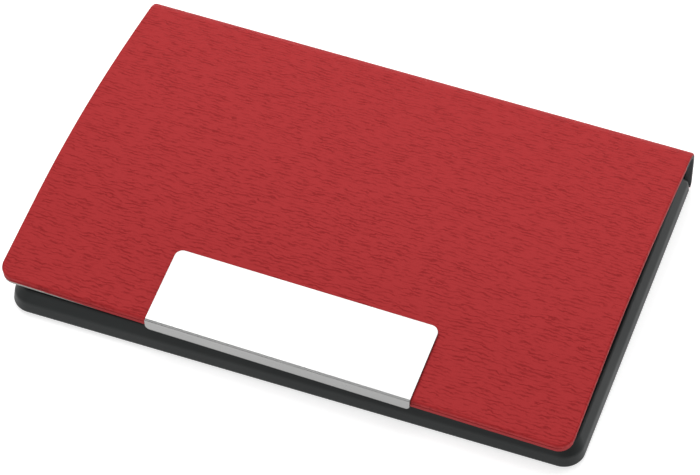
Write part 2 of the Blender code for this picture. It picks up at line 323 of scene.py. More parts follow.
# --- finishes ---------------------------------------------------------------------------------
@dataclass
class NodeTree:
    """Short calls for building a node tree.

    Args:
        tree: a material's or a group's node tree.
    """

    tree: bpy.types.NodeTree

    def add(self, kind: str, settings: dict | None = None, **inputs: object) -> bpy.types.Node:
        """Add a node, set its properties and its inputs, linking those that are sockets.

        Args:
            kind: the node type, without its ShaderNode prefix.
            settings: properties of the node.
            inputs: socket names, with spaces as underscores, or _0, _1 for a place in the list.

        Returns:
            The new node.
        """
        node = self.tree.nodes.new("ShaderNode" + kind)
        for key, value in (settings or {}).items():
            setattr(node, key, value)
        for key, value in inputs.items():
            place = int(key[1:]) if key[0] == "_" else key.replace("_", " ")
            if isinstance(value, bpy.types.NodeSocket):
                self.tree.links.new(value, node.inputs[place])
            else:
                node.inputs[place].default_value = value
        return node

    def math(self, operation: str, *values: object) -> bpy.types.NodeSocket:
        """A Math node's output."""
        inputs = {f"_{place}": value for place, value in enumerate(values)}
        return self.add("Math", {"operation": operation}, **inputs).outputs[0]

    def remap(self, value: bpy.types.NodeSocket, low: float, high: float) -> bpy.types.NodeSocket:
        """Stretch a value's range from low-high to 0-1, clamped."""
        return self.add("MapRange", Value=value, From_Min=low, From_Max=high).outputs[0]

    def tint(self, factor: object, first: object, second: object) -> bpy.types.NodeSocket:
        """Mix two colours by a factor."""
        node = self.add("Mix", {"data_type": "RGBA"}, _0=factor, _6=first, _7=second)
        return node.outputs[2]


class Effect(Enum):
    """Shared surface effects, each a node group that takes coordinates in metres."""

    CREPE = "crepe_grain"
    MOTTLE = "fine_mottle"
    FIBRE = "short_fibre"


def effect_group(effect: Effect) -> bpy.types.NodeTree:
    """The node group of an effect, built the first time it is asked for.

    Args:
        effect: which effect.

    Returns:
        A group with the outputs Height and Mask.
    """
    found = bpy.data.node_groups.get(effect.value)
    if found:
        return found
    group = bpy.data.node_groups.new(effect.value, "ShaderNodeTree")
    group.interface.new_socket("Vector", in_out="INPUT", socket_type="NodeSocketVector")
    group.interface.new_socket("Height", in_out="OUTPUT", socket_type="NodeSocketFloat")
    group.interface.new_socket("Mask", in_out="OUTPUT", socket_type="NodeSocketFloat")
    source = group.nodes.new("NodeGroupInput").outputs[0]
    sink = group.nodes.new("NodeGroupOutput")
    build = {Effect.CREPE: crepe_nodes, Effect.MOTTLE: mottle_nodes, Effect.FIBRE: fibre_nodes}
    height, mask = build[effect](NodeTree(group), source)
    group.links.new(height, sink.inputs[0])
    group.links.new(mask, sink.inputs[1])
    return group


def crepe_nodes(
    nodes: NodeTree, source: bpy.types.NodeSocket
) -> tuple[bpy.types.NodeSocket, bpy.types.NodeSocket]:
    """Fine wrinkles that run along the first coordinate, like crepe or linen.

    Args:
        nodes: the group's nodes.
        source: coordinates in metres.

    Returns:
        The height, and a mask of the valleys that the leatherette paints darker as shade.
    """
    drift_length, drift_reach = 7 * MM, 1.2 * MM
    wrinkle_length, wrinkle_width, pore = 1.35 * MM, 0.60 * MM, 0.26 * MM
    wave_period = 2 * pi / 20  # scale at which a Wave node repeats once per unit
    drift = nodes.add("TexNoise", Vector=source, Scale=1 / drift_length, Detail=2.0)
    shift = nodes.add("VectorMath", {"operation": "SCALE"}, _0=drift.outputs["Color"])
    shift.inputs["Scale"].default_value = drift_reach
    warped = nodes.add("VectorMath", {"operation": "ADD"}, _0=source, _1=shift.outputs[0])
    cell = (1 / wrinkle_length, 1 / wrinkle_width, 1 / MM)
    stretched = nodes.add("Mapping", Vector=warped.outputs[0], Scale=cell).outputs[0]
    lines = nodes.add(
        "TexWave",
        {"bands_direction": "Y"},
        Vector=stretched,
        Scale=wave_period,
        Distortion=6.5,
        Detail=3.0,
        Detail_Scale=1 / wave_period,
    )
    breaks = nodes.add("TexNoise", Vector=stretched, Scale=0.8, Detail=3.0)
    crease = nodes.math("SUBTRACT", 1.0, nodes.remap(lines.outputs["Fac"], 0.0, 0.60))
    broken = nodes.remap(breaks.outputs[0], 0.36, 0.62)
    # the valleys' mask paints shade: the leatherette's colour darkens in the wrinkle valleys
    valley = nodes.math("MULTIPLY", crease, broken)
    pores = nodes.add("TexNoise", Vector=source, Scale=1 / pore, Detail=2.0)
    body = nodes.math("MULTIPLY_ADD", breaks.outputs[0], 0.4, nodes.math("MULTIPLY", valley, -0.5))
    height = nodes.math("MULTIPLY_ADD", pores.outputs[0], 0.30, body)
    return height, valley


def mottle_nodes(
    nodes: NodeTree, source: bpy.types.NodeSocket
) -> tuple[bpy.types.NodeSocket, bpy.types.NodeSocket]:
    """Fine unevenness of a sprayed coat, with a slow change over several millimetres.

    Args:
        nodes: the group's nodes.
        source: coordinates in metres.

    Returns:
        The height and a mask of the slow change.
    """
    peel_size, cloud_size = 0.45 * MM, 14 * MM
    peel = nodes.add("TexNoise", Vector=source, Scale=1 / peel_size, Detail=3.0)
    slow = nodes.add("TexNoise", Vector=source, Scale=1 / cloud_size, Detail=2.0)
    return peel.outputs[0], nodes.remap(slow.outputs[0], 0.3, 0.7)


def fibre_nodes(
    nodes: NodeTree, source: bpy.types.NodeSocket
) -> tuple[bpy.types.NodeSocket, bpy.types.NodeSocket]:
    """Short fibres lying all ways, for flock, board and lining.

    Args:
        nodes: the group's nodes.
        source: coordinates in metres.

    Returns:
        The height and a mask of the fibres.
    """
    scale, slender = 1 / (0.35 * MM), 4
    along = nodes.add("Mapping", Vector=source, Scale=(scale, slender * scale, scale))
    across = nodes.add("Mapping", Vector=source, Scale=(slender * scale, scale, scale))
    first = nodes.add("TexNoise", Vector=along.outputs[0], Scale=1.0, Detail=2.0, Distortion=0.8)
    second = nodes.add("TexNoise", Vector=across.outputs[0], Scale=1.0, Detail=2.0, Distortion=0.8)
    height = nodes.math("MAXIMUM", first.outputs[0], second.outputs[0])
    return height, nodes.remap(height, 0.45, 0.75)


@dataclass(frozen=True)
class Finish:
    """A surface finish: a Principled shader with one effect for relief and colour change.

    Args:
        name: the material's name.
        colour: linear base colour.
        shade: colour where the effect's mask is full; under the crepe grain this is painted shade
            in the wrinkle valleys.
        roughness: base roughness.
        effect: the relief.
        relief: height of the relief, in metres.
        contrast: how far the mask moves the colour towards shade.
        metallic: 1 for bare metal.
        rough_change: how far the mask changes the roughness.
        follows_sheet: read the piece's own flat pattern and not its place.
        specular: specular level.
        sheen: sheen weight.
    """

    name: str
    colour: tuple[float, float, float]
    shade: tuple[float, float, float]
    roughness: float
    effect: Effect
    relief: float
    contrast: float = 1.0
    metallic: float = 0.0
    rough_change: float = 0.0
    follows_sheet: bool = False
    specular: float = 0.5
    sheen: float = 0.0

    def material(self) -> bpy.types.Material:
        """The material, built the first time it is asked for."""
        found = bpy.data.materials.get(self.name)
        return found if found and found.get("dressed") else self._build()

    def _build(self) -> bpy.types.Material:
        """Build the material's nodes.

        Returns:
            The new material.
        """
        made = bpy.data.materials.new(self.name)
        made["dressed"] = True
        made.use_nodes = True
        made.diffuse_color = (*self.colour, 1.0)
        nodes = NodeTree(made.node_tree)
        shader = made.node_tree.nodes["Principled BSDF"]
        coordinates = nodes.add("TexCoord").outputs["UV" if self.follows_sheet else "Object"]
        effect = made.node_tree.nodes.new("ShaderNodeGroup")
        effect.node_tree = effect_group(self.effect)
        made.node_tree.links.new(coordinates, effect.inputs["Vector"])
        colour = self._colour(nodes, coordinates, effect.outputs["Mask"])
        made.node_tree.links.new(colour, shader.inputs["Base Color"])
        height, mask = effect.outputs["Height"], effect.outputs["Mask"]
        rough = nodes.math("MULTIPLY_ADD", mask, self.rough_change, self.roughness)
        made.node_tree.links.new(rough, shader.inputs["Roughness"])
        bump = nodes.add("Bump", Strength=1.0, Distance=self.relief, Height=height)
        made.node_tree.links.new(bump.outputs[0], shader.inputs["Normal"])
        shader.inputs["Metallic"].default_value = self.metallic
        shader.inputs["Specular IOR Level"].default_value = self.specular
        shader.inputs["Sheen Weight"].default_value = self.sheen
        return made

    def _colour(
        self, nodes: NodeTree, coordinates: bpy.types.NodeSocket, mask: bpy.types.NodeSocket
    ) -> bpy.types.NodeSocket:
        """The base colour.

        Args:
            nodes: the material's nodes.
            coordinates: the coordinates in metres.
            mask: the effect's mask.

        Returns:
            The colour's socket.
        """
        share = nodes.math("MULTIPLY", mask, self.contrast)
        return nodes.tint(share, (*self.colour, 1.0), (*self.shade, 1.0))


@dataclass(frozen=True)
class LappedBoard(Finish):
    """Pale board painted dark with shade except at the left end of its front edge; the coat laps
    over that edge.

    Args:
        face: the colour of the painted shade on the front edge, which also covers the board's
            other faces.
        lap: the coat's linear colour.
        skew: slope of the front edge against the X axis.
        front_until: the front edge lies before this place along Y.
        lap_height: the coat's lower border at the left end.
        lap_drop: how much lower that border is at the right end.
        shade_from: past this place along X the front edge is painted dark with shade.
        fade: length over which that painted shade fades in.
        patch: size of the patches in which it fades.
    """

    # painted shade: dark colour for the front edge where it lies in shade
    face: tuple[float, float, float] = (0.022, 0.023, 0.024)
    lap: tuple[float, float, float] = (0.340, 0.015, 0.018)
    skew: float = 0.0218
    front_until: float = -28.6 * MM
    lap_height: float = 5.02 * MM
    lap_drop: float = 0.40 * MM
    shade_from: float = -34.0 * MM
    fade: float = 12.0 * MM
    patch: float = 2.5 * MM

    def _colour(
        self, nodes: NodeTree, coordinates: bpy.types.NodeSocket, mask: bpy.types.NodeSocket
    ) -> bpy.types.NodeSocket:
        """The board's colour: painted shade, its own pale colour at the left end of the front
        edge, and the lapped coat.

        Args:
            nodes: the material's nodes.
            coordinates: the coordinates in metres.
            mask: the effect's mask.

        Returns:
            The colour's socket.
        """
        board_tone = super()._colour(nodes, coordinates, mask)
        across, along, height = nodes.add("SeparateXYZ", _0=coordinates).outputs
        ahead = nodes.math("MULTIPLY_ADD", across, self.skew, along)
        front = nodes.math("LESS_THAN", ahead, self.front_until)
        # painted shade: the front edge turns from the board's pale colour to the dark face colour
        # towards the right, where it lies in shade
        patches = nodes.add("TexNoise", Vector=coordinates, Scale=1 / self.patch, Detail=2.0)
        strayed = nodes.math("MULTIPLY_ADD", patches.outputs[0], self.fade, across)
        shaded = nodes.remap(strayed, self.shade_from, self.shade_from + self.fade)
        unshaded = nodes.math("MULTIPLY", front, nodes.math("SUBTRACT", 1.0, shaded))
        border = nodes.math("MULTIPLY_ADD", shaded, -self.lap_drop, self.lap_height)
        lapped = nodes.math("MULTIPLY", front, nodes.math("GREATER_THAN", height, border))
        # the dark face colour is painted shade; the pale is the board's own colour
        under = nodes.tint(unshaded, (*self.face, 1.0), board_tone)
        return nodes.tint(lapped, under, (*self.lap, 1.0))


LEATHERETTE = Finish(
    name="red_leatherette_coat",
    colour=(0.385, 0.0185, 0.021),
    # painted shade: darker red in the wrinkle valleys of the grain
    shade=(0.250, 0.0085, 0.010),
    roughness=0.62,
    effect=Effect.CREPE,
    relief=0.08 * MM,
    contrast=0.85,
    rough_change=0.08,
    follows_sheet=True,
    specular=0.15,
)
CUT_EDGE = Finish(
    name="leatherette_cut_edge",
    colour=(0.070, 0.068, 0.070),
    shade=(0.045, 0.044, 0.046),
    roughness=0.80,
    effect=Effect.FIBRE,
    relief=0.03 * MM,
)
BACKING = Finish(
    name="leatherette_backing",
    colour=(0.100, 0.100, 0.102),
    shade=(0.075, 0.075, 0.077),
    roughness=0.90,
    effect=Effect.FIBRE,
    relief=0.04 * MM,
)
LINING = Finish(
    name="black_lining_paper",
    colour=(0.026, 0.026, 0.028),
    shade=(0.016, 0.016, 0.018),
    roughness=0.72,
    effect=Effect.FIBRE,
    relief=0.02 * MM,
)
BOARD = LappedBoard(
    name="grey_pasteboard",
    colour=(0.400, 0.385, 0.365),
    shade=(0.280, 0.265, 0.250),
    roughness=0.85,
    effect=Effect.FIBRE,
    relief=0.03 * MM,
)
FLOCK = Finish(
    name="black_flock_bed",
    colour=(0.016, 0.016, 0.018),
    shade=(0.030, 0.030, 0.033),
    roughness=0.95,
    effect=Effect.FIBRE,
    relief=0.12 * MM,
    sheen=0.35,
)
ANTHRACITE = Finish(
    name="anthracite_coat",
    colour=(0.022, 0.0245, 0.0245),
    shade=(0.018, 0.0205, 0.021),
    roughness=0.40,
    effect=Effect.MOTTLE,
    relief=0.006 * MM,
    rough_change=0.06,
    specular=0.20,
)
SATIN_STEEL = Finish(
    name="satin_plate_steel",
    colour=(0.350, 0.350, 0.347),
    shade=(0.325, 0.325, 0.323),
    roughness=0.25,
    effect=Effect.MOTTLE,
    relief=0.0015 * MM,
    metallic=1.0,
    rough_change=0.04,
)
NICKEL = Finish(
    name="bright_nickel",
    colour=(0.610, 0.590, 0.560),
    shade=(0.540, 0.520, 0.490),
    roughness=0.20,
    effect=Effect.MOTTLE,
    relief=0.002 * MM,
    metallic=1.0,
    rough_change=0.10,
)


# --- the cover's shape ------------------------------------------------------------------------
@dataclass(frozen=True)
class CoverProfile:
    """The cover seen from its end, in its own frame: first number to the back, second number up.

    Args:
        half_width: half the strip's width, along X.
        leather: thickness of the leatherette.
        back_face: outer face of the spine.
        lower_radius: outer radius of the fold between base and spine.
        seam_height: where the lower and the upper run of leatherette meet on the spine.
        fold_radius: outer radius of the fold between spine and flap.
        fold_height: height of that fold's centre.
        fold_turn: how far it turns before the arch takes over.
        back_handle: pull of the arch at its back end.
        front_handle: pull of the arch at its front end.
        front_edge: the flap's front edge.
        front_height: height of the flap's top there.
        front_slope: slope of the flat stretch behind that edge.
        front_flat: length of the flat stretch.
        front_corner: plan radius of the two front corners.
        fold_steps: steps round the upper fold, and twice those round the lower one.
        arch_steps: steps along the arch.
    """

    half_width: float = 47.0 * MM
    leather: float = 0.8 * MM
    back_face: float = 31.5 * MM
    lower_radius: float = 1.0 * MM
    seam_height: float = 3.3 * MM
    fold_radius: float = 3.4 * MM
    fold_height: float = 6.15 * MM
    fold_turn: float = radians(84.0)
    back_handle: float = 14.5 * MM
    front_handle: float = 15.6 * MM
    front_edge: float = -30.0 * MM
    front_height: float = 6.2 * MM
    front_slope: float = radians(10.5)
    front_flat: float = 14.0 * MM
    front_corner: float = 2.4 * MM
    fold_steps: int = 20
    arch_steps: int = 44

    @property
    def along_front(self) -> Vector:
        """Direction up the flat stretch, towards the back."""
        return Vector((cos(self.front_slope), sin(self.front_slope)))

    @property
    def front_normal(self) -> Vector:
        """Outward direction on the flat stretch."""
        return Vector((-self.along_front.y, self.along_front.x))

    @property
    def front_top(self) -> Vector:
        """Top of the flap at its front edge."""
        return Vector((self.front_edge, self.front_height))

    @property
    def fold_centre(self) -> Vector:
        """Centre of the upper fold."""
        return Vector((self.back_face - self.fold_radius, self.fold_height))

    @property
    def fold_start(self) -> Vector:
        """Outer surface where the upper fold begins."""
        return self.fold_centre + Vector((self.fold_radius, 0.0))

    @property
    def fold_end(self) -> Vector:
        """Outer surface over the fold's centre."""
        return self.fold_centre + Vector((0.0, self.fold_radius))

    def lower_run(self) -> list[Point]:
        """Outer surface from the fold's start under the case up to the seam.

        Returns:
            The run's points.
        """
        centre = Vector((self.back_face - self.lower_radius, self.lower_radius))
        steps = self.fold_steps // 2
        run = []
        for step in range(steps + 1):
            angle = -pi / 2 + step / steps * pi / 2
            ray = Vector((cos(angle), sin(angle)))
            run.append((centre + self.lower_radius * ray, ray))
        run.append((Vector((self.back_face, self.seam_height)), Vector((1.0, 0.0))))
        return run

    def upper_run(self) -> list[Point]:
        """Outer surface from the seam over the fold and along the arch to the front edge.

        Returns:
            The run's points.
        """
        run = [(Vector((self.back_face, self.seam_height)), Vector((1.0, 0.0)))]
        for step in range(self.fold_steps + 1):
            angle = self.fold_turn * step / self.fold_steps
            ray = Vector((cos(angle), sin(angle)))
            run.append((self.fold_centre + self.fold_radius * ray, ray))
        back, ray = run[-1]
        heading = Vector((-ray.y, ray.x))
        front = self.front_top + self.front_flat * self.along_front
        knots = [
            back,
            back + self.back_handle * heading,
            front + self.front_handle * self.along_front,
            front,
        ]
        arch = [point.to_2d() for point in interpolate_bezier(*knots, self.arch_steps + 1)]
        for before, here, after in zip(arch, arch[1:], arch[2:]):
            way = (after - before).normalized()
            run.append((here, Vector((way.y, -way.x))))
        run.append((front, self.front_normal))
        run.append((self.front_top, self.front_normal))
        return run


@dataclass(frozen=True)
class CoverFrame:
    """Where the cover stands: it is glued on a little askew, so its frame comes from its folds.

    Args:
        matrix: from the cover's own frame to the case's.
    """

    matrix: Matrix

    @classmethod
    def from_joints(cls, joints: list[dict], profile: CoverProfile) -> "CoverFrame":
        """Work the frame out from the hinge at the spine's foot.

        Args:
            joints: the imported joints.
            profile: the cover's shape.

        Returns:
            The cover's frame.
        """
        hinge = next(joint for joint in joints if joint["name"] == "spine_fold")
        skew = atan2(-hinge["axis"][1], -hinge["axis"][0])
        turn = Matrix.Rotation(skew, 4, "Z")
        own = Vector((0.0, profile.back_face - profile.leather / 2, profile.leather / 2))
        LOG.info("cover is askew by %.2f degrees", degrees(skew))
        return cls(Matrix.Translation(Vector(hinge["pos_m"]) - turn @ own) @ turn)

    def point(self, place: Vector) -> Vector:
        """A point of the cover's Y-Z plane in the case's frame."""
        return self.matrix @ Vector((0.0, place.x, place.y))


def lay_pattern(piece: Workpiece, route: list[Point], start: float) -> None:
    """Give a strip a UV map in metres: across it, and along its outer surface.

    Args:
        piece: a finished strip, still in the cover's own frame.
        route: the run it follows.
        start: length of the strip before this run, so that two runs share one pattern.
    """
    lengths = [start]
    for (here, _), (there, _) in zip(route, route[1:]):
        lengths.append(lengths[-1] + (there - here).length)
    mesh = piece.obj.data
    for layer in list(mesh.uv_layers):
        mesh.uv_layers.remove(layer)
    layer = mesh.uv_layers.new(name="strip")
    along = []
    for vert in mesh.vertices:
        place = vert.co.yz
        best = min(
            range(len(route) - 1),
            key=lambda index: distance_to_stretch(place, route[index][0], route[index + 1][0])[0],
        )
        share = distance_to_stretch(place, route[best][0], route[best + 1][0])[1]
        along.append(lengths[best] + share * (lengths[best + 1] - lengths[best]))
    for loop in mesh.loops:
        vert = mesh.vertices[loop.vertex_index]
        layer.data[loop.index].uv = (vert.co.x, along[vert.index])


def distance_to_stretch(place: Vector, start: Vector, end: Vector) -> tuple[float, float]:
    """How far a point is from a straight stretch, and where along it the nearest point lies.

    Args:
        place: the point.
        start: the stretch's start.
        end: the stretch's end.

    Returns:
        The distance, and the share of the stretch, from 0 to 1.
    """
    way = end - start
    share = max(0.0, min(1.0, (place - start).dot(way) / way.length_squared))
    return (start + share * way - place).length, share


# --- sub-assemblies ---------------------------------------------------------------------------
@dataclass
class Cover:
    """The leatherette strip, its lining and its board.

    Args:
        profile: the strip's shape.
        stand: where it stands.
        edge_round: how far the coat rounds over the cut edges.
        edge_steps: steps round that edge.
        glue: gap between glued layers.
        board: thickness of the flap's board.
        lining: thickness of the lining.
        lining_inset: how far the lining stops inside the cut edges.
        lining_foot: height at which the lining starts on the spine.
        edge_change: past this place towards the back, the cut edge is bare.
        corner_steps: steps round the front corners.
        panel_corner: plan radius of the base panel's front corners.
        panel_edge: rounding of the base panel's lower edge.
        made: names of the finished pieces.
    """

    profile: CoverProfile
    stand: CoverFrame
    edge_round: float = 0.34 * MM
    edge_steps: int = 3
    glue: float = 0.1 * MM
    board: float = 0.6 * MM
    lining: float = 0.2 * MM
    lining_inset: float = 1.0 * MM
    lining_foot: float = 1.85 * MM
    edge_change: float = 26.0 * MM
    corner_steps: int = 10
    panel_corner: float = 0.7 * MM
    panel_edge: float = 0.12 * MM
    made: list[str] = field(default_factory=list)

    def build(self) -> None:
        """Make every piece of the cover."""
        self._base_panel()
        self._lower_leather()
        self._upper_leather()
        self._lining()
        frame["nodes"]["flap_board"].data.materials[0] = BOARD.material()
        self.made.append("flap_board")

    def _strip(self, name: str, route: list[Point], half_width: float, corner: float) -> Workpiece:
        """An open sheet along a route, facing outward, in edit mode.

        Args:
            name: the piece's name.
            route: the run it follows.
            half_width: half its width.
            corner: plan radius of the corners at the route's end, or 0.

        Returns:
            The sheet.
        """
        piece = Workpiece.from_edge(name, half_width, route[0][0])
        piece.extrude_through(place for place, _ in route)
        if corner:
            end = route[-1][0]
            reach = corner / 2
            piece.select(
                Element.VERT,
                lambda vert: (vert.co.yz - end).length < reach
                and abs(vert.co.x) > half_width - reach,
            )
            piece.bevel(corner, self.corner_steps, corner=True)
        piece.face_outward(route[0][1])
        piece.leave()
        return piece

    def _finish_leather(self, piece: Workpiece, route: list[Point], start: float) -> None:
        """Thicken a leatherette sheet, round its edges, lay its grain and put it in place.

        Args:
            piece: the open sheet.
            route: the run it follows.
            start: length of the strip before this run.
        """
        seam = self.profile.seam_height
        piece.dress(LEATHERETTE.material(), CUT_EDGE.material(), BACKING.material())
        pressed = 0.8 * self.glue  # how far the soft backing sinks into the glue
        piece.thicken(self.profile.leather + pressed, rim_slot=1, inner_slot=2)
        piece.enter()
        piece.select(
            Element.EDGE,
            lambda edge: {face.material_index for face in edge.link_faces} == {0, 1}
            and not all(abs(vert.co.z - seam) < NEAR for vert in edge.verts),
        )
        piece.bevel(self.edge_round, self.edge_steps, slot=0)
        mesh = bmesh.from_edit_mesh(piece.obj.data)
        for face in mesh.faces:
            if face.material_index == 1 and face.calc_center_median().y < self.edge_change:
                face.material_index = 0
        bmesh.update_edit_mesh(piece.obj.data)
        piece.leave()
        lay_pattern(piece, route, start)
        piece.place(self.stand.matrix)
        piece.smooth(35.0)

    def _base_panel(self) -> None:
        """Leatherette under the tray, cut off where the lower fold begins."""
        low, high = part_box("base_leather")
        fold = self.stand.point(Vector((self.profile.back_face - self.profile.lower_radius, 0.0)))
        back = (self.stand.matrix.to_3x3() @ Vector((0.0, 1.0, 0.0))).normalized()
        spare = 2 * MM  # trimmed off at the fold
        piece = Workpiece.from_box("base_panel", low, Vector((high.x, high.y + spare, high.z)))
        piece.dress(LEATHERETTE.material(), CUT_EDGE.material(), BACKING.material())
        piece.enter()
        middle = (low.y + high.y) / 2
        piece.select(
            Element.EDGE,
            lambda edge: all(vert.co.y < middle for vert in edge.verts) and stands(edge),
        )
        piece.bevel(self.panel_corner, 6)
        bpy.ops.mesh.select_all(action="SELECT")
        bpy.ops.mesh.bisect(
            plane_co=fold, plane_no=back, clear_outer=True, use_fill=True, threshold=NEAR / 10
        )
        mesh = bmesh.from_edit_mesh(piece.obj.data)
        mesh.normal_update()
        for face in mesh.faces:
            face.material_index = 1 + round(face.normal.z)  # coat below, backing above
        bmesh.update_edit_mesh(piece.obj.data)
        piece.select(
            Element.EDGE,
            lambda edge: all(vert.co.z < NEAR for vert in edge.verts)
            and not all((vert.co - fold).dot(back) > -NEAR for vert in edge.verts),
        )
        piece.bevel(self.panel_edge, 2)
        piece.leave()
        mesh = piece.obj.data
        layer = mesh.uv_layers[0] if mesh.uv_layers else mesh.uv_layers.new(name="strip")
        for loop in mesh.loops:
            layer.data[loop.index].uv = mesh.vertices[loop.vertex_index].co.xy
        piece.smooth()
        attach(piece.obj, Body.BASE.value)
        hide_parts("base_leather")
        self.made.append("base_panel")

    def _lower_leather(self) -> None:
        """Leatherette round the lower fold and up half the spine."""
        route = self.profile.lower_run()
        piece = self._strip("lower_fold_leather", route, self.profile.half_width, 0.0)
        self._finish_leather(piece, route, 0.0)
        foot, rise = route[0][0], route[-2][0]
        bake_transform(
            piece.obj,
            Body.BASE.value,
            Body.SPINE.value,
            start=self.stand.point(foot),
            end=self.stand.point(rise),
        )
        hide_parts("spine_leather")
        self.made.append("lower_fold_leather")

    def _upper_leather(self) -> None:
        """Leatherette from half way up the spine over the upper fold to the flap's front edge."""
        shape = self.profile
        route, lower = shape.upper_run(), shape.lower_run()
        before = sum((there - here).length for (here, _), (there, _) in zip(lower, lower[1:]))
        piece = self._strip("flap_leather_cover", route, shape.half_width, shape.front_corner)
        self._finish_leather(piece, route, before)
        self._bend_over_fold(piece)
        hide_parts("flap_leather", "spine_leather")
        self.made.append("flap_leather_cover")

    def _lining(self) -> None:
        """One lining inside spine and flap, which steps over the board's back edge."""
        shape = self.profile
        shallow = shape.leather + self.glue
        deep = shallow + self.board + self.glue
        run = shape.upper_run()
        foot = Vector((shape.back_face - shallow, self.lining_foot))
        ahead, slope = 1.6 * MM, 1.5 * MM  # the step down over the board's back edge
        route = [(foot, Vector((1.0, 0.0)))]
        for place, out in run[1:]:
            sunk = min(1.0, max(0.0, (shape.fold_centre.x + ahead - place.x) / slope))
            depth = shallow + (deep - shallow) * sunk * sunk * (3 - 2 * sunk)
            route.append((place - depth * out, out))
        end, out = route[-1]
        route[-1] = (end + self.lining_inset * shape.along_front, out)
        corner = shape.front_corner - self.lining_inset / 2
        half_width = shape.half_width - self.lining_inset
        piece = self._strip("cover_lining", route, half_width, corner)
        piece.dress(LINING.material())
        piece.thicken(self.lining, rim_slot=0, inner_slot=0)
        piece.place(self.stand.matrix)
        piece.smooth()
        self._bend_over_fold(piece)
        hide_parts("spine_liner", "flap_liner")
        self.made.append("cover_lining")

    def _bend_over_fold(self, piece: Workpiece) -> None:
        """Bake a strip's place into its mesh, handing on the spine and flap bodies and the upper
        fold's ends, which are not used.

        Args:
            piece: the strip.
        """
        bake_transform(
            piece.obj,
            Body.SPINE.value,
            Body.FLAP.value,
            start=self.stand.point(self.profile.fold_start),
            end=self.stand.point(self.profile.fold_end),
        )


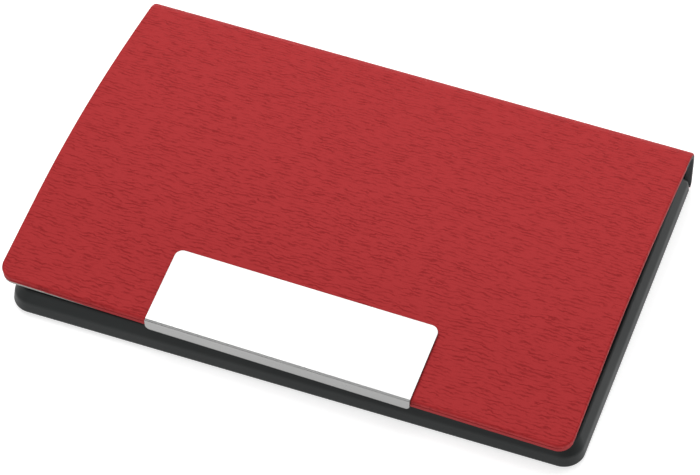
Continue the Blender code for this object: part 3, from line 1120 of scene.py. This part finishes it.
@dataclass
class Tray:
    """The pressed steel tray and the flocked bed in it.

    Args:
        foot: height of the metal above the surface.
        foot_radius: rounding of the foot.
        front_corner: plan radius of the front corners.
        back_corner: plan radius of the back corners.
        crease: height of the crease, where the wall starts to lean further in.
        lower_lean: how far the wall leans in below the crease.
        upper_lean: how far it leans in above it.
        rim: thickness of the rim.
        floor: height of the inner floor.
        floor_inset: how far the inner floor stops inside the outer size.
        lip: metal left round the recess under the tray.
        recess: height of the recess's ceiling.
        recess_corner: plan radius of its front corners.
        corner_steps: steps round the shell's corners.
        bed_corner: plan radius of the bed's corners.
        bed_edge: rounding of the bed's upper edge.
        made: names of the finished pieces.
    """

    foot: float = 0.25 * MM
    foot_radius: float = 0.65 * MM
    front_corner: float = 3.4 * MM
    back_corner: float = 1.1 * MM
    crease: float = 2.55 * MM
    lower_lean: float = 0.22 * MM
    upper_lean: float = 1.02 * MM
    rim: float = 0.72 * MM
    floor: float = 1.5 * MM
    floor_inset: float = 0.95 * MM
    lip: float = 2.6 * MM
    recess: float = 0.9 * MM
    recess_corner: float = 0.8 * MM
    corner_steps: int = 14
    bed_corner: float = 0.9 * MM
    bed_edge: float = 0.1 * MM
    made: list[str] = field(default_factory=list)

    def build(self) -> None:
        """Make the tray and its bed."""
        self._shell()
        self._bed()

    def _shell(self) -> None:
        """Press the shell: walls drawn up ring by ring, then roundings and the recess."""
        low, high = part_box("tray")
        foot_top = self.foot + self.foot_radius
        piece = Workpiece.from_box(
            "tray_shell", Vector((low.x, low.y, self.foot)), Vector((high.x, high.y, foot_top))
        )
        piece.dress(ANTHRACITE.material())
        piece.enter()
        middle = (high + low) / 2
        for front, radius in ((True, self.front_corner), (False, self.back_corner)):
            piece.select(
                Element.EDGE,
                lambda edge, front=front: stands(edge)
                and (edge.verts[0].co.y < middle.y) == front,
            )
            piece.bevel(radius, self.corner_steps)
        piece.select(
            Element.FACE, lambda face: all(vert.co.z > foot_top - NEAR for vert in face.verts)
        )
        rim_inset = self.lower_lean + self.upper_lean
        for lift, before, after in (
            (self.crease - foot_top, 0.0, self.lower_lean),
            (high.z - self.crease, self.lower_lean, rim_inset),
            (0.0, rim_inset, rim_inset + self.rim),
            (self.floor - high.z, rim_inset + self.rim, self.floor_inset),
        ):
            self._next_ring(high - low, middle, lift, before, after)
        for level, width, steps in (
            (self.foot, self.foot_radius * 0.95, 5),
            (self.crease, 0.3 * MM, 3),
            (high.z, self.rim * 0.42, 5),
            (self.floor, 0.55 * MM, 5),
        ):
            self._round_level(piece, level, width, steps, low, high)
        bpy.ops.mesh.select_all(action="SELECT")
        bpy.ops.mesh.normals_make_consistent(inside=False)
        piece.leave()
        piece.cut(self._recess_cutter(low, high))
        piece.smooth(32.0)
        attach(piece.obj, Body.BASE.value)
        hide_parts("tray")
        self.made.append("tray_shell")

    def _next_ring(
        self, size: Vector, middle: Vector, lift: float, before: float, after: float
    ) -> None:
        """Extrude the selected face to its next level, and draw it in or out.

        Args:
            size: the tray's outer size.
            middle: the tray's middle.
            lift: how far the face rises.
            before: its inset from the outer size now.
            after: the inset it ends with.
        """
        bpy.ops.mesh.extrude_region_move(TRANSFORM_OT_translate={"value": (0.0, 0.0, lift)})
        factors = [(side - 2 * after) / (side - 2 * before) for side in size.xy]
        bpy.ops.transform.resize(value=(*factors, 1.0), center_override=(middle.x, middle.y, 0.0))

    def _recess_cutter(self, low: Vector, high: Vector) -> Workpiece:
        """The room under the tray for the base panel, open towards the back.

        Args:
            low: the shell's lowest corner.
            high: its highest corner.

        Returns:
            The cutter.
        """
        cutter = Workpiece.from_box(
            "recess_cutter",
            Vector((low.x + self.lip, low.y + self.lip, -MM)),
            Vector((high.x - self.lip, high.y + MM, self.recess)),
        )
        cutter.enter()
        cutter.select(
            Element.EDGE,
            lambda edge: stands(edge) and edge.verts[0].co.y < 0.0,
        )
        cutter.bevel(self.recess_corner, 5)
        cutter.leave()
        return cutter

    def _round_level(
        self, piece: Workpiece, level: float, width: float, steps: int, low: Vector, high: Vector
    ) -> None:
        """Round the outermost edge rings at a level.

        Args:
            piece: the shell.
            level: the rings' height.
            width: the rounding's offset.
            steps: steps round it.
            low: the shell's lowest corner.
            high: its highest corner.
        """
        inside = self.lip * 0.9
        piece.select(
            Element.EDGE,
            lambda edge: all(
                abs(vert.co.z - level) < NEAR
                and (
                    min(vert.co.x - low.x, high.x - vert.co.x) < inside
                    or min(vert.co.y - low.y, high.y - vert.co.y) < inside
                )
                for vert in edge.verts
            )
            and len(edge.link_faces) == 2
            and edge.calc_face_angle(0.0) > radians(3.0),
        )
        piece.bevel(width, steps)

    def _bed(self) -> None:
        """Flocked pad with softened edges on the tray's floor."""
        low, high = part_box("tray_liner")
        piece = Workpiece.from_box("flocked_bed", low, high)
        piece.dress(FLOCK.material())
        piece.enter()
        piece.select(Element.EDGE, stands)
        piece.bevel(self.bed_corner, 6)
        piece.select(
            Element.EDGE, lambda edge: all(abs(vert.co.z - high.z) < NEAR for vert in edge.verts)
        )
        piece.bevel(self.bed_edge, 3)
        piece.leave()
        piece.smooth()
        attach(piece.obj, Body.BASE.value)
        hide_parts("tray_liner")
        self.made.append("flocked_bed")


@dataclass
class NamePlate:
    """The blank steel plate that is folded down over the flap's front edge.

    Args:
        profile: the cover's shape, which the plate lies on.
        stand: where the cover stands.
        half_width: half its width.
        offset: how far right of the middle it sits.
        depth: how far it reaches back from the fold.
        drop: height of the folded leaf.
        thickness: of the sheet.
        bend: outer radius of the fold.
        corner: radius of the two back corners.
        foot_corner: radius of the leaf's two lower corners.
        gap: glue under it.
        edge: rounding of the sheet's edges.
        bend_steps: steps round the fold.
        made: names of the finished pieces.
    """

    profile: CoverProfile
    stand: CoverFrame
    half_width: float = 21.75 * MM
    offset: float = 0.15 * MM
    depth: float = 12.9 * MM
    drop: float = 2.1 * MM
    thickness: float = 0.45 * MM
    bend: float = 0.52 * MM
    corner: float = 1.3 * MM
    foot_corner: float = 0.8 * MM
    gap: float = 0.05 * MM
    edge: float = 0.07 * MM
    bend_steps: int = 8
    made: list[str] = field(default_factory=list)

    def _route(self) -> list[Point]:
        """Outer surface from the back edge over the fold to the leaf's foot.

        Returns:
            The run's points.
        """
        shape = self.profile
        normal = shape.front_normal
        top = shape.front_top + (self.gap + self.thickness) * normal
        face = shape.front_edge - self.gap - self.thickness
        centre = Vector((face + self.bend, 0.0))
        along = (centre.x + self.bend * normal.x - top.x) / shape.along_front.x
        centre.y = (top + along * shape.along_front).y - self.bend * normal.y
        route = [(top + self.depth * shape.along_front, normal)]
        first = pi / 2 + shape.front_slope
        for step in range(self.bend_steps + 1):
            angle = first + (pi - first) * step / self.bend_steps
            ray = Vector((cos(angle), sin(angle)))
            route.append((centre + self.bend * ray, ray))
        foot = shape.front_height + self.thickness - self.drop
        route.append((Vector((face, foot)), Vector((-1.0, 0.0))))
        return route

    def build(self) -> None:
        """Fold the sheet, round its corners, thicken it and break its edges."""
        route = self._route()
        piece = Workpiece.from_edge("name_plate_sheet", self.half_width, route[0][0])
        piece.extrude_through(place for place, _ in route)
        for place, radius in ((route[0][0], self.corner), (route[-1][0], self.foot_corner)):
            piece.select(
                Element.VERT,
                lambda vert, place=place: (vert.co.yz - place).length < NEAR
                and abs(vert.co.x) > self.half_width - NEAR,
            )
            piece.bevel(radius, 8, corner=True)
        piece.face_outward(route[0][1])
        piece.leave()
        piece.dress(SATIN_STEEL.material())
        piece.thicken(self.thickness, rim_slot=0, inner_slot=0)
        piece.enter()
        piece.select(
            Element.EDGE,
            lambda edge: len(edge.link_faces) == 2 and edge.calc_face_angle(0.0) > radians(60.0),
        )
        piece.bevel(self.edge, 2)
        piece.leave()
        piece.place(self.stand.matrix @ Matrix.Translation((self.offset, 0.0, 0.0)))
        piece.smooth(35.0)
        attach(piece.obj, Body.FLAP.value)
        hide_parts("name_plate")
        self.made.append("name_plate_sheet")


@dataclass
class Magnets:
    """The two magnets in the board, which keep their solids and get their finish.

    Args:
        names: their nodes.
        made: names of the finished pieces.
    """

    names: tuple[str, str] = ("left_magnet", "right_magnet")
    made: list[str] = field(default_factory=list)

    def build(self) -> None:
        """Dress the magnets."""
        for name in self.names:
            frame["nodes"][name].data.materials[0] = NICKEL.material()
            self.made.append(name)


# --- studio -----------------------------------------------------------------------------------
@dataclass(frozen=True)
class SoftLight:
    """A square area light that looks at the case.

    Args:
        name: the light's name.
        place: where it hangs.
        size: its side.
        power: in watts.
    """

    name: str
    place: tuple[float, float, float]
    size: float
    power: float

    def hang(self) -> None:
        """Add the light."""
        bpy.ops.object.light_add(type="AREA", location=self.place)
        lamp = bpy.context.object
        lamp.name = self.name
        lamp.data.shape = "SQUARE"
        lamp.data.size = self.size
        lamp.data.energy = self.power
        lamp.rotation_euler = (-Vector(self.place)).to_track_quat("-Z", "Y").to_euler()


@dataclass
class Studio:
    """Pale floor, soft lights and the camera.

    Args:
        ambient: strength of the white surroundings.
        floor_size: side of the floor.
        floor_grey: the floor's reflectance.
        floor_glow: light that the floor gives off by itself.
        camera_place: where the camera stands.
        camera_turn: its rotation, in degrees.
        lens: focal length, in mm.
        sensor: width of the sensor, in mm.
        lights: the area lights.
    """

    ambient: float = 0.25
    floor_size: float = 3.0
    floor_grey: float = 0.60
    floor_glow: float = 0.68
    camera_place: tuple[float, float, float] = (0.10859, -0.27636, 0.35323)
    camera_turn: tuple[float, float, float] = (40.1037, 0.8565, 20.4855)
    lens: float = 148.98
    sensor: float = 36.0
    lights: tuple[SoftLight, ...] = (
        SoftLight("overhead_box", (-0.27, 0.33, 1.05), 1.0, 11.0),
        SoftLight("right_box", (0.95, 0.75, 0.6), 0.8, 3.6),
        SoftLight("back_box", (-0.25, 1.25, 0.7), 0.8, 4.0),
        SoftLight("front_box", (-0.2, -1.2, 0.9), 1.0, 3.5),
    )

    def build(self) -> None:
        """Set up the stage, the lights and the camera."""
        bpy.context.scene.view_settings.view_transform = "Standard"
        self._floor()
        self._surroundings()
        for light in self.lights:
            light.hang()
        bpy.ops.object.camera_add(
            location=self.camera_place, rotation=[radians(turn) for turn in self.camera_turn]
        )
        camera = bpy.context.object
        camera.name = "camera"
        camera.data.lens = self.lens
        camera.data.sensor_width = self.sensor
        camera.data.clip_start = 0.01
        bpy.context.scene.camera = camera

    def _floor(self) -> None:
        """Add the pale floor just under the case."""
        bpy.ops.object.select_all(action="DESELECT")
        bpy.ops.mesh.primitive_plane_add(size=self.floor_size, location=(0.0, 0.0, -0.02 * MM))
        floor = bpy.context.object
        floor.name = "studio_floor"
        paper = bpy.data.materials.new("studio_paper")
        paper.use_nodes = True
        shader = paper.node_tree.nodes["Principled BSDF"]
        shader.inputs["Base Color"].default_value = (*[self.floor_grey] * 3, 1.0)
        shader.inputs["Roughness"].default_value = 0.9
        shader.inputs["Emission Color"].default_value = (1.0, 1.0, 1.0, 1.0)
        shader.inputs["Emission Strength"].default_value = self.floor_glow
        floor.data.materials.append(paper)

    def _surroundings(self) -> None:
        """Light the scene evenly from all round."""
        world = bpy.data.worlds.new("studio_surroundings")
        world.use_nodes = True
        background = world.node_tree.nodes["Background"]
        background.inputs["Color"].default_value = (1.0, 1.0, 1.0, 1.0)
        background.inputs["Strength"].default_value = self.ambient
        bpy.context.scene.world = world


def main() -> None:
    """Build the case and the studio."""
    logging.basicConfig(level=logging.INFO, format="%(name)s: %(message)s")
    profile = CoverProfile()
    stand = CoverFrame.from_joints(frame["joints"], profile)
    for assembly in (Tray(), Cover(profile, stand), NamePlate(profile, stand), Magnets()):
        assembly.build()
        for name in assembly.made:
            LOG.info("%s: %s", type(assembly).__name__, name)
    Studio().build()
    bpy.context.view_layer.update()


if __name__ == "__main__":
    main()
